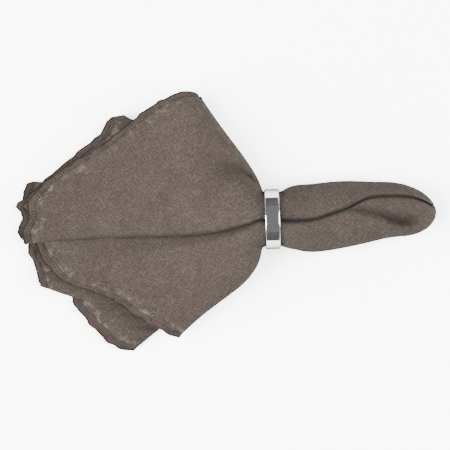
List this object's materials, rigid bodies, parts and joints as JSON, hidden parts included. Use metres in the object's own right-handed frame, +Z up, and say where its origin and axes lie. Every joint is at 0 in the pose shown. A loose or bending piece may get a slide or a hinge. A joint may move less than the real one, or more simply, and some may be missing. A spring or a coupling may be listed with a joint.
{
  "type": "cloth napkin in a ring",
  "caption": "Square cloth table napkin gathered by its middle and drawn through a polished metal ring, with its hemmed corners fanned out flat on the table.",
  "frame": {"origin": "centre of the outline, on the table", "axes": "+X towards the gathered end, +Y across the folded cloth, +Z up from the table"},
  "size_m": [0.3189, 0.1981, 0.0458],
  "materials": {
    "linen": "plain weave, washed",
    "ring_metal": "polished"
  },
  "bodies": {
    "root": {"napkin": "linen", "ring": "ring_metal"}
  },
  "joints": []
}
